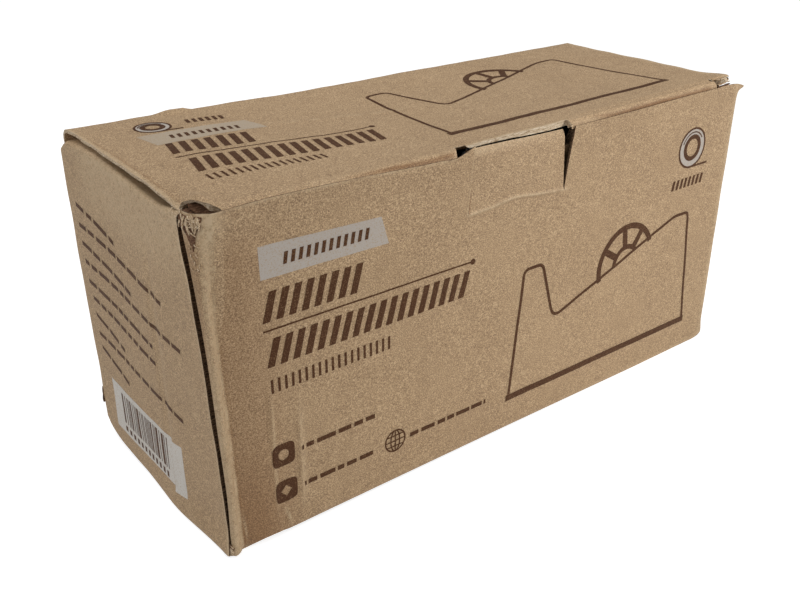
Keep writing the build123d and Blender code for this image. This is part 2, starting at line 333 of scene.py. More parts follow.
def add_node(tree, kind, inputs=None, **settings):
    """A new node. An input is a value, or a socket to link from."""
    made = tree.nodes.new(kind)
    for key, value in settings.items():
        setattr(made, key, value)
    for key, value in (inputs or {}).items():
        if isinstance(value, bpy.types.NodeSocket):
            tree.links.new(value, made.inputs[key])
        else:
            made.inputs[key].default_value = value
    return made


class Paint:
    """A node material with short ways to add and wire nodes."""

    def __init__(self, name, roughness=0.7, specular=0.5, metallic=0.0):
        self.material = bpy.data.materials.new(name)
        self.material.use_nodes = True
        self.tree = self.material.node_tree
        self.shader = self.tree.nodes["Principled BSDF"]
        self.shader.inputs["Roughness"].default_value = roughness
        self.shader.inputs["Specular IOR Level"].default_value = specular
        self.shader.inputs["Metallic"].default_value = metallic
        self.place = self.node("ShaderNodeTexCoord").outputs["Object"]

    def node(self, kind, inputs=None, **settings):
        return add_node(self.tree, kind, inputs, **settings)

    def math(self, operation, a, b=0.0, clamp=False):
        return self.node("ShaderNodeMath", {0: a, 1: b}, operation=operation, use_clamp=clamp).outputs[0]

    def noise(self, scale, detail, stretch=None, rough=0.5):
        """Values about 0.5. scale is in cycles a metre, stretch is per axis."""
        place = self.place
        if stretch:
            place = self.node("ShaderNodeMapping", {"Vector": place, "Scale": stretch}).outputs[0]
        inputs = {"Vector": place, "Scale": scale, "Detail": detail, "Roughness": rough}
        return self.node("ShaderNodeTexNoise", inputs).outputs["Fac"]

    def blend(self, factor, a, b):
        """Colour a, with colour b over it by the factor."""
        return self.node("ShaderNodeMix", {0: factor, 6: a, 7: b}, data_type="RGBA").outputs[2]

    def shades(self, factor, places, colours):
        """Colours along a factor, each at its place."""
        made = self.node("ShaderNodeValToRGB", {"Fac": factor})
        elements = made.color_ramp.elements
        while len(elements) < len(places):
            elements.new(0.5)
        for element, place, colour in zip(elements, places, colours):
            element.position = place
            element.color = colour
        return made.outputs["Color"]

    def mixed(self, *weighted):
        """0.5 plus each (value, weight) pair's departure from 0.5."""
        total = 0.5
        for value, weight in weighted:
            scaled = self.math("MULTIPLY", self.math("SUBTRACT", value, 0.5), weight)
            total = self.math("ADD", scaled, total)
        return total

    def over(self, value, edge, soft):
        """0 under edge, 1 over edge plus soft."""
        inputs = {"Value": value, "From Min": edge, "From Max": edge + soft}
        return self.node("ShaderNodeMapRange", inputs).outputs[0]

    def finish(self, colour, rough_by, roughness, height, distance, strength):
        """The material, with colour, roughness and bump wired in."""
        low, high = roughness
        rough = self.node("ShaderNodeMapRange", {"Value": rough_by, "To Min": low, "To Max": high})
        bump = self.node("ShaderNodeBump", {"Height": height, "Distance": distance, "Strength": strength})
        wires = {"Base Color": colour, "Roughness": rough.outputs[0], "Normal": bump.outputs[0]}
        for key, socket in wires.items():
            self.tree.links.new(socket, self.shader.inputs[key])
        return self.material


DARK_TO_LIGHT = (0.0, 0.5, 1.0)
KRAFT_DARK = srgb(128, 102, 76)
KRAFT = srgb(171, 142, 107)
KRAFT_LIGHT = srgb(210, 182, 146)
# Colours under and over the per-point attribute: a brown rub and painted shade, then pale fuzz and painted
# highlight.
RUB_AND_SHADE = (srgb(112, 80, 52), srgb(140, 105, 70), srgb(168, 132, 94))
FUZZ_AND_HIGHLIGHT = srgb(204, 180, 146)
INK = srgb(71, 41, 19)


def kraft_value(paint):
    """The uneven tone of kraft paper: clouds, fine grain and short fibres."""
    cloud = paint.noise(22, 3)
    mottle = paint.noise(210, 4)
    grain = paint.noise(2300, 2)
    fibre_a = paint.noise(3200, 2, (1.0, 0.35, 0.45))
    fibre_b = paint.noise(3200, 2, (0.35, 1.0, 1.0))
    return paint.mixed((cloud, 0.25), (mottle, 0.25), (grain, 2.2), (fibre_a, 1.1), (fibre_b, 1.1)), grain


def kraft(name, dark=KRAFT_DARK, mid=KRAFT, light=KRAFT_LIGHT, worn=True):
    """Kraft paper. A per-point attribute over 0 paints pale torn fuzz and painted highlight, under 0 a brown
    rub and painted shade.
    """
    paint = Paint(name, specular=0.45)
    tone, grain = kraft_value(paint)
    board = paint.shades(tone, DARK_TO_LIGHT, (dark, mid, light))
    specks = paint.over(paint.noise(700, 1), 0.70, 0.04)
    board = paint.blend(paint.math("MULTIPLY", specks, 0.3), board, dark)
    if worn:
        wear_and_light = paint.node("ShaderNodeAttribute", attribute_name="wear_and_light").outputs["Fac"]
        scuffs = paint.over(paint.noise(480, 4, rough=0.7), 0.32, 0.22)
        board = paint.blend(paint.math("MULTIPLY", wear_and_light, scuffs, clamp=True), board, FUZZ_AND_HIGHLIGHT)
        rub_and_shade = paint.shades(tone, DARK_TO_LIGHT, RUB_AND_SHADE)
        board = paint.blend(paint.math("MULTIPLY", wear_and_light, -1.0, clamp=True), board, rub_and_shade)
    return paint.finish(board, tone, (0.62, 0.78), grain, 0.00012, 0.5)


def raw_edge(name, *colours):
    """Cut edge of the board. The colours run from dark to light."""
    paint = Paint(name, specular=0.2)
    torn = paint.noise(1800, 3, rough=0.7)
    streaks = paint.noise(1300, 3, (0.25, 1.0, 1.6))
    colour = paint.shades(paint.mixed((torn, 0.9), (streaks, 1.3)), (0.2, 0.5, 0.8), colours)
    return paint.finish(colour, torn, (0.8, 0.95), torn, 0.0002, 0.6)


def ink(name, colour, pale, cover):
    """Printing ink, thin enough for the board's grain to show."""
    paint = Paint(name, specular=0.15)
    tone, grain = kraft_value(paint)
    thin = paint.math("MULTIPLY", paint.over(tone, cover, 0.35), 0.55)
    return paint.finish(paint.blend(thin, colour, pale), tone, (0.55, 0.7), grain, 0.0001, 0.4)


def moulded(name, colour, shade):
    """Plastic with a spark texture and handling marks."""
    paint = Paint(name)
    spark = paint.noise(900, 2)
    rub = paint.noise(60, 4)
    mix = paint.blend(paint.mixed((spark, 0.3), (rub, 0.7)), shade, colour)
    return paint.finish(mix, rub, (0.38, 0.52), spark, 0.00008, 0.5)


def brushed_steel():
    paint = Paint("brushed_steel", metallic=1.0)
    lines = paint.noise(1600, 3, (1.0, 0.03, 1.0))
    colour = paint.shades(lines, (0.3, 0.7), (srgb(150, 152, 155), srgb(205, 207, 208)))
    return paint.finish(colour, lines, (0.22, 0.42), lines, 0.00003, 0.4)


def foam():
    paint = Paint("closed_cell_foam", specular=0.2)
    cells = paint.node("ShaderNodeTexVoronoi", {"Vector": paint.place, "Scale": 1300.0}).outputs["Distance"]
    colour = paint.shades(cells, (0.0, 1.0), (srgb(30, 30, 31), srgb(62, 62, 64)))
    return paint.finish(colour, cells, (0.75, 0.95), cells, 0.0004, 0.7)


def cast_ballast():
    paint = Paint("cast_ballast", specular=0.2)
    sand = paint.noise(1100, 4, rough=0.7)
    stain = paint.noise(35, 3)
    tone = paint.mixed((sand, 0.7), (stain, 0.6))
    colour = paint.shades(tone, (0.2, 0.8), (srgb(120, 116, 108), srgb(188, 183, 172)))
    return paint.finish(colour, sand, (0.8, 0.95), sand, 0.0005, 0.6)


board_outside = kraft("kraft_outside")
torn_paper = kraft("torn_paper", srgb(150, 122, 92), srgb(196, 170, 136), srgb(226, 208, 182), worn=False)
board_inside = kraft("kraft_inside", mid=srgb(168, 138, 104), worn=False)
pale_edge = raw_edge("torn_edge", srgb(150, 124, 96), srgb(202, 182, 154), srgb(230, 216, 194))
# Bare flutes where the liner is torn; the same dark colour is also painted shade in gaps and pockets.
bare_flutes_and_shade = raw_edge("bare_flutes_and_shade", srgb(68, 48, 36), srgb(112, 82, 62), srgb(148, 116, 90))
# Painted shade: a darker copy of the raw edge, so that cuts and slits read dark.
shaded_edge = raw_edge("shaded_cut_edge", srgb(46, 33, 24), srgb(86, 66, 49), srgb(134, 110, 86))
brown_ink = ink("brown_ink", INK, srgb(134, 104, 76), 0.54)
grey_ink = ink("grey_ink", srgb(184, 176, 168), KRAFT, 0.55)
pale_ink = ink("pale_ink", srgb(214, 209, 202), KRAFT, 0.6)
thin_ink = ink("thin_ink", srgb(178, 163, 144), KRAFT, 0.5)


def dress(obj, *materials):
    for material in materials:
        obj.data.materials.append(material)
    return obj


def board_piece(panel, node, body=None, edge=shaded_edge):
    """The board shown in place of a CAD node."""
    obj = dress(panel.build(node + "_board"), board_outside, board_inside, edge)
    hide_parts(node)
    if body:
        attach(obj, body)
    return obj


# Lid: back fold, bowed top, front roll

LID_FLAT = BACK - BACK_ROUND
LID_ROLL = FRONT + ROLL_SETBACK + ROLL_ROUND
S_ROUND = TOP - BACK_ROUND - LID_SEAM
S_FLAT = S_ROUND + BACK_ROUND * QUARTER
S_ROLL = S_FLAT + LID_FLAT - LID_ROLL
S_END = S_ROLL + ROLL_ROUND * QUARTER

LID_BACK_RISE = [(-141, 2.1), (-122, 1.6), (-95, 1.4), (-71, 1.0), (-36, 0.4), (-15, 0.2), (6, 0.4),
                 (27, 0.5), (80, 0.2), (141, 0)]
LID_MIDDLE_RISE = [(-141, 1.4), (-122, 2.0), (-95, 1.0), (-71, -0.7), (-36, -2.1), (0, -1.9), (80, -1.5),
                   (110, -0.8), (141, 0)]
LID_FRONT_RISE = [(-141, 0.4), (-118, 0.2), (-83, -0.3), (-43, -0.9), (0, -0.6), (60, -0.2), (100, 0.3),
                  (141, 0.5)]
LID_CURL = [(-60, 4.4), (-48, 4.4), (-43, 4.2), (-37, 3.2), (-30, 2.1), (-15, 1.1), (0, 0.2), (12, 0)]
NOTCH = [(-141.4, -43.2), (-139.4, -40.8), (-138.5, -41.2), (-138.0, -45.6), (-137.4, -48.6),
         (-136.4, -50.6), (-135.2, -52.1), (-133.8, -53.3), (-132.4, -54.3), (-130.6, -57.2)]


def lid_s(y):
    """Distance along the lid from its back seam to y on the flat top."""
    return S_FLAT + LID_FLAT - y


def lid_scar(x, y, width):
    """A long slanting scratch across the lid."""
    return hump(y - 19 + 0.205 * (x + 69.7), 0, width) * between(x, -80, -66, -16, 0)


def lid_rise(x, y):
    """How far the lid's top stands above its nominal height."""
    middle = curve(LID_MIDDLE_RISE, x)
    towards = np.where(y > 0, curve(LID_BACK_RISE, x), curve(LID_FRONT_RISE, x))
    rise = middle + (towards - middle) * np.clip(np.abs(y) / BACK, 0, 1) ** 2
    eyelid = 3.0 * hump(x, -137.2, 4.0) * hump(y, -47.0, 5.5)
    curl = curve(LID_CURL, y) * ease(-134.5, -141.5, x)
    tongue = ease(126, 140, x) * ease(-36, -52, y) - 0.9 * ease(139, 144, x) * ease(-44, -52, y)
    lump = 1.2 * between(x, -106, -97, -90.5, -88.0) * ease(46, 54, y)
    return rise + eyelid - curl + tongue + 0.25 * lid_scar(x, y, 1.5) + lump + 0.18 * ripple(x, y, 9)


def lid_end(x):
    """Distance along the lid where its board ends."""
    left = np.minimum(lid_s(curve(NOTCH, x)), S_END)
    right = lid_s(TONGUE_END + 2.4 * ease(136, 142, x))
    return np.where(x > TONGUE_AT, right, left)


def lid_thick(u, v):
    left_edge = 1.6 * ease(-132.0, -140.5, u)
    slot_s = lid_s(SLOT_EDGE)
    slot = between(u, SLOT[0] - 6, SLOT[0], SLOT[1], SLOT[1] + 5) * ease(slot_s - 5, slot_s, v)
    hole = 2.1 * hump(u, HOLE_MIDDLE, 4.5) * hump(v, lid_s(HOLE_EDGE), 2.5)
    return np.maximum(BOARD - left_edge - slot * (1.4 - ease(-20, 20, u)) - hole, CRUSHED)


def lid_surface(u, v):
    start = lid_s(TRIM_FROM)
    s = np.where(v < start, v, start + (v - start) * (lid_end(u) - start) / (S_END - start))
    edge = 0.5 * ripple(u, s, 7) * ease(LID_HALF - 4, LID_HALF, np.abs(u))
    edge = edge - 0.5 * ease(-136, -141, u) * hump(s, S_ROUND, 3.5)
    edge = edge + 2.6 * ease(132, 141, u) * ease(lid_s(-34.0), lid_s(-46.0), s)
    rolled = u < TONGUE_AT
    back = np.clip((s - S_ROUND) / BACK_ROUND, 0, QUARTER)
    roll = np.clip((s - S_ROLL) / ROLL_ROUND, 0, QUARTER) * rolled
    flat = np.maximum(np.where(rolled, np.minimum(s, S_ROLL), s) - S_FLAT, 0)
    setback = ROLL_BACK_RIGHT * ease(20, 60, u) + ROLL_BACK_LEFT * hump(u, -47, 15)
    y = BACK - BACK_ROUND * (1 - np.cos(back)) - flat - ROLL_ROUND * np.sin(roll)
    y = y + setback * ease(S_ROLL - 30, S_ROLL, s)
    z = LID_SEAM + np.minimum(s, S_ROUND) + BACK_ROUND * np.sin(back) - ROLL_ROUND * (1 - np.cos(roll))
    z = z + lid_rise(u, y) * ease(0, S_FLAT, s) - 0.6 * hump(s, S_ROLL - 0.4, 0.8) * ease(28, 45, u)
    beside_hole = between(y, -55.3, HOLE_EDGE, HOLE_EDGE + 1, HOLE_EDGE + 9)
    skew = HOLE_SKEW * hump(u, HOLE_MIDDLE, 5.0) * beside_hole
    return np.stack([u + edge + skew, y, z], -1)


def lid_kept(u, v):
    slot = inside(u, *SLOT) & (v > lid_s(SLOT_EDGE))
    hole = inside(u, *HOLE) & (v > lid_s(HOLE_EDGE))
    split = inside(u, TONGUE_AT - SPLIT, TONGUE_AT) & (v > lid_s(SPLIT_FROM))
    return ~(slot | hole | split)


def lid_wear_and_shade(x, y, z):
    fold = hump(y, FRONT + 2.0, 1.6) * patchy(x, 11, 0.5)
    rim = hump(x, -LID_HALF, 1.2) + hump(x, LID_HALF, 1.2)
    slot = between(x, SLOT[0], SLOT[0] + 4, SLOT[1] - 2, SLOT[1] + 1) * hump(y, SLOT_EDGE, 0.8)
    # Painted shadow: a thin dark line along the lid's left edge.
    edge_shadow = hump(x, -138.9, 0.5) * between(y, -44, -34, 20, 48) * patchy(y, 5, 0.4)
    # Painted shadow: a dark line along the underside of the front roll, left and right of the tab.
    roll_shadow = hump(y, FRONT + 1.6, 0.7) * between(x, -90, -62, -36, -33)
    roll_shadow = roll_shadow + hump(y, FRONT + 0.5 + ROLL_BACK_RIGHT, 0.4) * between(x, 36, 60, 122, 128)
    pale = 0.35 * fold + 0.6 * rim + 0.35 * lid_scar(x, y, 0.6) + slot
    return np.clip(pale - 0.9 * edge_shadow - 1.1 * roll_shadow, -1, 1)


def make_lid():
    left, right = -LID_HALF - 0.4, LID_HALF + 1.0
    us = spaced(left, right, 2.0, (*SLOT, *HOLE, TONGUE_AT - SPLIT, TONGUE_AT))
    us = merged(us, spaced(left, -LID_HALF + 12, 0.6), spaced(TONGUE_AT - 2, right, 0.8))
    cuts = [lid_s(y) for y in (TRIM_FROM, SPLIT_FROM, HOLE_EDGE, SLOT_EDGE)]
    vs = spaced(0, S_END, 2.0, (S_ROUND, S_FLAT, *cuts, S_ROLL))
    vs = merged(vs, spaced(0, S_FLAT, 0.6), spaced(S_ROLL, S_END, 0.6))
    panel = Panel(lid_surface, us, vs, lid_kept, lid_thick, lid_wear_and_shade, -1, flush=[(1, lid_s(SLOT_EDGE))])
    lid = board_piece(panel, "lid_panel", edge=pale_edge)
    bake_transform(lid)
    return panel


# Tuck flap behind the front wall

TUCK_REACH = 25.0
TUCK_TILT = math.radians(20)
TUCK_NOTCH = 8.0
TUCK_SLOT = (SLOT[0], SLOT[1] + 2)


def tuck_surface(u, v):
    turn = np.clip(v / ROLL_ROUND, 0, TUCK_TILT)
    rest = np.maximum(v - ROLL_ROUND * TUCK_TILT, 0)
    y = LID_ROLL - ROLL_ROUND * np.cos(turn) + rest * math.sin(TUCK_TILT)
    z = TOP - ROLL_ROUND - ROLL_ROUND * np.sin(turn) - rest * math.cos(TUCK_TILT)
    y = y + ROLL_BACK_RIGHT * ease(20, 60, u)
    return np.stack([u, y, z + curve(LID_FRONT_RISE, u) * ease(12, 0, v)], -1)


def tuck_kept(u, v):
    return ~(inside(u, *TUCK_SLOT) & (v < TUCK_NOTCH))


def make_tuck():
    us = spaced(-TUCK_HALF, TUCK_HALF, 3.0, TUCK_SLOT)
    vs = spaced(0, TUCK_REACH, 1.5, (TUCK_NOTCH,))
    tuck = board_piece(Panel(tuck_surface, us, vs, tuck_kept, side=-1), "tuck_flap")
    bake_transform(tuck)


# Front and back walls, with the strips that bend round the corners

FRONT_TOP = [(-150, 137.3), (-130, 137.3), (-118, 137.7), (-103, 137.5), (-83, 137.0), (-61, 135.9),
             (-43, 135.2), (-33.6, 135.3), (-33, 135.6), (30, 135.6), (57, 135.8), (80, 136.2),
             (124, 136.6), (140, 136.6), (150, 134.6)]
FRONT_FOOT = [(-150, 1.6), (-142.4, 1.5), (-140, 0.5), (-136, 0.2), (-132, 1.6), (-110, 1.6), (-40, 1.0),
              (60, 0.3), (132, 0.3), (138, 0.3), (141, 0.8), (145, 3.0), (150, 4.5)]
CREASE = -136.0
RIGHT_BEND = 143.6
BACK_BEND = 137.5
BEAD_AT = 0.6
FOLD_LEFT = -120.2
FOLD_RIGHT = -108.8
CREASE_X = [(0, -134.6), (12, -134.8), (54, -135.8), (99, -137.2), (126, -136.6), (138, -136.8)]
STRIP_OUT = [(0, 6.0), (6, 5.3), (14, 4.8), (57, 4.8), (99, 4.5), (126, 5.7), (138, 5.7)]
STRIP_BACK = [(0, 1.2), (12, 1.7), (30, 1.6), (57, 1.7), (90, 3.2), (110, 5.6), (124, 7.8), (130, 9.2),
              (138, 9.6)]
TAB_CREASE = [(-40, 110.5), (-28, 110.5), (-16, 110.9), (-4, 112.2), (11, 110.6), (28, 109.2), (40, 109.2)]


def front_dents(x, z):
    """Handling marks on the front wall, as a push inwards."""
    near = np.maximum(x - curve(CREASE_X, z), 0)
    hollow = 2.0 * ramp(1 - near / 10.0, 0.08) * ease(132, 108, z)
    folds = (0.4 + 0.7 * ease(42, 50, z)) * hump(x, FOLD_LEFT, 1.0) * between(z, 6, 22, 56, 70)
    folds = folds + 0.9 * hump(x, FOLD_RIGHT, 1.2) * between(z, 8, 18, 44, 64)
    folds = folds + 0.7 * hump(x, -115.0, 1.0) * hump(z, 10, 5)
    dip = 0.9 * hump(x, -118.5 + 0.3 * z, 1.4) * hump(z, 9, 5)
    return hollow - folds + dip + 0.16 * ripple(x, z, 12) * ease(0, 12, z)


def front_surface(u, v):
    z = v + (curve(FRONT_TOP, u) - TOP) * ease(113, TOP, v) + curve(FRONT_FOOT, u) * ease(9, 0, v)
    z = z + (curve(TAB_CREASE, u) - TAB_ROOT) * hump(v, TAB_ROOT, 7) * between(u, -60, -40, 40, 55)
    rise = np.clip((v - TAB_ROOT) / (TOP - TAB_ROOT), 0, 1)
    lean = CUT_LEAN * hump(u, TAB_LEFT, 9) + 4.4 * hump(u, TAB_RIGHT, 9)
    left = ramp(CREASE - u, 0.6)
    right = ramp(u - RIGHT_BEND, 0.7)
    t = left / STRIP
    away = np.where(t < BEAD_AT, (BEAD_AT - t) / BEAD_AT, (t - BEAD_AT) / (1 - BEAD_AT))
    bead = 2.0 * (1 - np.sqrt(away * away + 0.10)) * ease(0, 0.3, t)
    splay = ease(129.5, 134.0, z)
    shift = (curve(CREASE_X, z) - CREASE) * ease(-112, CREASE, u)
    x = u + left + shift - t * curve(STRIP_OUT, z) - 0.8 * bead
    x = x - right * (1 - (1.2 + 3.4 * splay) / STRIP) + rise * lean
    y = FRONT + t * curve(STRIP_BACK, z) - bead + right * (6.2 - 5.4 * splay) / STRIP
    y = y - 0.3 * ease(35, 60, u) * ease(128, TOP, v)
    y = y + front_dents(x, z) * ease(CREASE - 3, CREASE - 0.3, u)
    y = y + 0.7 * ramp(1.8 - z, 1.5) ** 2 * np.clip((90 - x) / 190, 0, 1)
    y = y - TAB_RIDGE * hump(v, TAB_ROOT, 0.8) * between(u, -31, -27, 25, 29)
    y = y - 0.9 * ease(-134, -138, u) * hump(z, 3, 3)
    x = x + 1.2 * ease(139, 144, u) * hump(z, 3, 5)
    foot = ease(-130, -139, u) * ease(8, 0, z)
    x = x + foot * (0.3 + 0.5 * ripple(z, u, 2.5))
    y = y + foot * (0.2 + 0.5 * ripple(u, z, 2.2))
    return np.stack([x, y, z], -1)


def front_thick(u, v):
    lip = ease(TOP - 0.5, TOP - 9.5, v)
    opening = hump(u, TAB_RIGHT, 5.0) * ease(TAB_ROOT - 6, TAB_ROOT + 1, v)
    return CRUSHED + (BOARD - CRUSHED) * lip * (1 - 0.7 * opening)


def tab_cut(z):
    """Where the cut left of the lock tab runs, as x."""
    return TAB_LEFT + CUT_LEAN * np.clip((z - TAB_ROOT) / CUT_HEIGHT, 0, 1)


def front_wear_and_light(x, y, z):
    past = x - curve(CREASE_X, z)
    right = np.maximum(past, 0)
    crease = hump(past, 0, 0.8) * patchy(z, 3, 0.45)
    lip = hump(z, curve(FRONT_TOP, x), 0.7) * patchy(x, 5, 0.3) * ease(40, 25, x)
    tab = 0.8 * between(x, -30, -26, 27, 31) * hump(z, curve(TAB_CREASE, x), 0.5)
    tab = tab + 0.9 * hump(x, tab_cut(z), 0.45) * ease(109, 111, z)
    corner = 0.5 * hump(x, 142, 1.5) + 0.6 * hump(x, -137, 5) * hump(z, 133, 6)
    foot = 0.5 * hump(z, 0.5, 1.4)
    folds = 0.7 * hump(x, FOLD_LEFT + 0.5, 0.7) * between(z, 6, 22, 50, 70)
    folds = folds + 0.5 * hump(x, FOLD_RIGHT + 0.6, 0.8) * between(z, 8, 18, 44, 64)
    # Painted highlight: the corner strip left of the crease made paler.
    strip_highlight = 0.55 * ease(-142, -140, x) * ease(0.5, -1.5, past)
    cracks = hump(x, -132.4 - 0.09 * z, 0.45) * hump(z, 11, 5)
    cracks = cracks + hump(x, -112.9 - 0.28 * z, 0.5) * hump(z, 9, 4.5)
    # Partly a real rub, partly painted shade: brown darkening right of the crease, stronger towards the
    # foot, and a thin dark shadow line along the crease.
    start = 3.4 * ease(85, 112, z)
    rub_and_shade = ease(start + 0.1, start + 0.8, right) * ease(30, 6, right) * ease(134, 118, z)
    rub_and_shade = rub_and_shade * (0.38 + 0.5 * ease(60, 10, z)) + 0.5 * hump(right, 0.6, 0.4) * ease(110, 95, z)
    # Painted shade on the back of the corner strip, beside the slit.
    side = 0.5 * ease(-54.0, -52.6, y) * ease(-137, -139, x) * ease(132, 124, z)
    pale = 0.85 * crease + 0.9 * lip + tab + corner + foot + folds + strip_highlight + 1.5 * cracks
    return np.clip(pale - rub_and_shade - side, -1, 1)


def front_kept(u, v):
    return ~(inside(u, TAB_LEFT, TAB_RIGHT) & (v > TAB_ROOT))


def make_front():
    start, end = CREASE - STRIP, RIGHT_BEND + STRIP
    at_cut = spaced(TAB_LEFT - 2, TAB_LEFT + 4.5, 0.5, (TAB_LEFT,))
    at_crease = spaced(TAB_ROOT - 3, TAB_ROOT + 3, 0.5, (TAB_ROOT,))
    corners = (spaced(start, -132, 0.6), spaced(-132, -108, 0.9), spaced(136, end, 0.7))
    us = merged(spaced(start, end, 2.5, (TAB_LEFT, TAB_RIGHT)), *corners, at_cut)
    vs = merged(spaced(0, TOP, 2.5), spaced(0, 9, 0.7), at_crease, spaced(128, TOP, 0.8))
    panel = Panel(front_surface, us, vs, front_kept, front_thick, front_wear_and_light, flush=[(1, TAB_ROOT)])
    board_piece(panel, "carton_front", "carton")
    return panel


def back_surface(u, v):
    """The back wall in its own half turn, so that u runs against x."""
    z = v + 3.6 * ease(141.6, 143.4, np.abs(u)) * ease(120, LID_SEAM, v)
    left = ramp(-BACK_BEND - u, 1.2)
    right = ramp(u - BACK_BEND, 1.2)
    x = u + left * 0.3 - right * 0.65
    y = FRONT + (left + right) * 0.72 + 0.2 * ripple(u, z, 13) * between(z, 0, 10, 120, LID_SEAM)
    y = y + 2.2 * ramp(1.8 - z, 1.5) ** 2 / 3.2
    return np.stack([-x, -y, z], -1)


def back_wear(x, y, z):
    corner = hump(np.abs(x), 138.0, 1.2) * patchy(z, 4, 0.5)
    return np.clip(0.6 * corner + 0.4 * hump(z, 0.5, 1.4), 0, 1)


def make_back():
    end = BACK_BEND + STRIP
    us = merged(spaced(-end, end, 3.0), spaced(-end, -132, 0.8), spaced(132, end, 0.8))
    vs = merged(spaced(0, LID_SEAM, 3.0), spaced(0, 8, 0.8), spaced(124, LID_SEAM, 1.0))
    board_piece(Panel(back_surface, us, vs, wear_and_light=back_wear), "carton_back", "carton")


# Lock tab


def tab_surface(u, v):
    rise = np.clip((v - TAB_ROOT) / (TAB_TOP - TAB_ROOT), 0, 1)
    wavy = curve(TAB_CREASE, u) - TAB_ROOT
    to_right = ease(TAB_LEFT, TAB_RIGHT, u)
    x = u + rise * (CUT_LEAN * ease(TAB_RIGHT, TAB_LEFT, u) + 1.5 * to_right)
    y = FRONT + (TAB_LEAN + to_right) * ramp(rise - 0.06, 0.08) + 0.12 * ripple(u, v, 8) * ease(0, 0.2, rise)
    y = y - TAB_RIDGE * hump(v, TAB_ROOT, 0.8) + 0.16 * ripple(u, v, 12) * ease(0.2, 0, rise)
    y = y + 1.6 * ease(TAB_TOP - 3.0, TAB_TOP + 1.2, v)
    z = v + wavy * (1 - rise) + rise * (0.8 * ease(10, TAB_LEFT, u) - 0.8 * ease(-10, TAB_RIGHT, u))
    return np.stack([x, y, z], -1)


def tab_wear_and_shade(x, y, z):
    crease = 0.9 * hump(z, curve(TAB_CREASE, x), 0.5)
    lip = hump(z, TAB_TOP, 1.3)
    # Painted shade: a thin dark line just right of the cut.
    cut = hump(x, tab_cut(z) + 0.4, 0.5)
    return np.clip(crease + 0.6 * lip - 0.9 * cut, -1, 1)


def make_tab():
    left, right = TAB_LEFT + TAB_PLAY, TAB_RIGHT - 2 * TAB_PLAY
    us = merged(spaced(left, right, 1.5), spaced(left, left + 2, 0.5))
    vs = merged(spaced(TAB_ROOT, TAB_TOP, 1.5), spaced(TAB_ROOT, TAB_ROOT + 4, 0.5))
    tab = board_piece(Panel(tab_surface, us, vs, wear_and_light=tab_wear_and_shade, flush=[(1, TAB_ROOT)]), "lock_tab")
    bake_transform(tab)


# End walls, rolled over at the top

END_ROUND = 1.4
S_END_ROUND = END_TOP - END_ROUND
S_END_TOP = S_END_ROUND + END_ROUND * QUARTER
S_END_IN = S_END_TOP + END_STACK - 2 * END_ROUND
S_END_STOP = S_END_IN + END_ROUND * QUARTER
END_EDGE = [(0, -55.4), (12, -53.4), (31, -52.8), (60, -51.2), (88, -49.2), (109, -45.6), (124, -41.6),
            (140, -40.4)]
END_RISE = [(-49, 1.2), (-41, 0.7), (-37, 0.6), (-27, -0.8), (-16, -0.6), (0, 0.8), (20, 2.4), (46, 3.0),
            (51, 2.4), (55, -0.6)]
END_FOOT = [(-56, 2.6), (-54.5, 1.8), (-52, 1.0), (-47, 0.5), (-30, 0.3), (0, 0.3), (15, 0.8), (30, 2.0),
            (40, 2.8), (45, 4.0), (51, 6.5), (55, 10.0)]
END_BACK = 5.0
LEFT_WORN, RIGHT_WORN = 1.0, 0.35


def end_surface(u, v, worn):
    """The left end, u along -Y so that the outside faces -X. worn is the share of the worn shape shown."""
    first = np.clip((v - S_END_ROUND) / END_ROUND, 0, QUARTER)
    second = np.clip((v - S_END_IN) / END_ROUND, 0, QUARTER)
    over = np.clip(v - S_END_TOP, 0, S_END_IN - S_END_TOP)
    x = LEFT + END_ROUND * (1 - np.cos(first)) + over + END_ROUND * np.sin(second)
    z = np.minimum(v, S_END_ROUND) + END_ROUND * np.sin(first) - END_ROUND * (1 - np.cos(second))
    y = -u + worn * (curve(END_EDGE, z) + END_HALF) * ease(0, END_HALF, u)
    y = y + worn * (END_BACK + 1.8 * ease(20, 130, z)) * ease(END_HALF - 30, END_HALF, -u)
    z = z + curve(END_RISE, y) * ease(60, END_TOP, z) + worn * curve(END_FOOT, y) * ease(22, 0, z)
    z = z + 4.5 * (1 - worn) * ease(-49, -55, y) * ease(12, 0, z)
    z = z - 0.25 * np.clip(v - S_END_TOP, 0, 4) * between(y, -46, -38, 10, 30)
    push = 2.4 * ease(-10, -52, y) * np.clip(1 - z / 120, 0, 1) + 1.2 * ease(90, 136, z) * ease(45, 20, y)
    push = push - ease(15, 54, y) * ease(20, 130, z) - 1.8 * ease(20, -25, y) * ease(14, 0, z)
    crease = 0.6 * hump(y, -14.0, 2.5) * between(z, 22, 34, 90, 125)
    uneven = 0.22 * ripple(y, z, 11) * ease(0, 10, z)
    x = x + worn * push + crease + uneven + 0.35 * ramp(1.6 - z, 1.2) ** 2
    return np.stack([x, y, z], -1)


def end_wear_and_light(x, y, z):
    fold = hump(z, END_TOP - 0.5, 2.0) * patchy(y, 5, 0.5)
    rim = hump(y, curve(END_EDGE, z), 0.8)
    foot = hump(z, 0.6, 1.2)
    # Painted highlight: the upper part made paler where the lid shades it.
    pale = 0.5 * ease(98, 124, z) * ease(50, 30, y)
    crease = 0.45 * hump(y, -12.6, 0.5) * between(z, 22, 34, 80, 120) * patchy(z, 6, 0.4)
    return np.clip(0.35 * fold + 0.9 * rim + 0.4 * foot + pale + crease, 0, 1)


